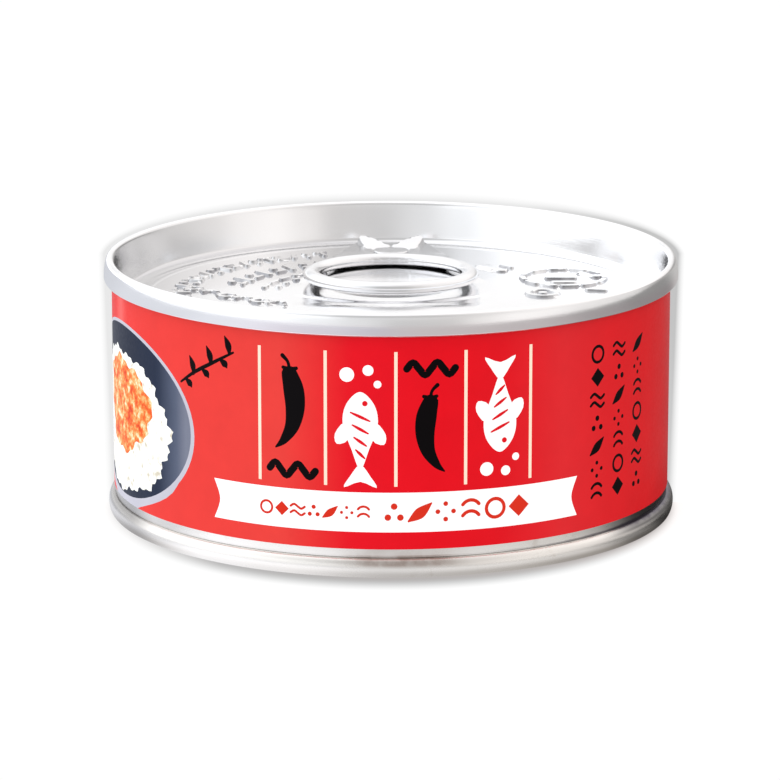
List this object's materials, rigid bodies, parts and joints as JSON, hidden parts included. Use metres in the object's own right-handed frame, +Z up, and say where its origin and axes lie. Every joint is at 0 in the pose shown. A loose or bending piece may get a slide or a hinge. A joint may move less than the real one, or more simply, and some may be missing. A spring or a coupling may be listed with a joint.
{
  "type": "easy-open food can",
  "caption": "Shut, low round food can with a sunken ring-pull lid, rolled double seams and a red paper label round its wall.",
  "frame": {"origin": "middle of the ring that the can stands on, at the ground", "axes": "+Z up along the can's axis, -Y towards the viewer and the pull ring's free side, +X to the viewer's right"},
  "size_m": [0.0768, 0.0768, 0.0344],
  "materials": {
    "wall_steel": "satin",
    "lid_steel": "bright satin",
    "tab_steel": "bright",
    "label_paper": "semi-gloss"
  },
  "bodies": {
    "root": {"body": "wall_steel", "base": "wall_steel", "lid": "lid_steel", "tab": "tab_steel", "rivet": "lid_steel", "label": "label_paper"}
  },
  "joints": []
}
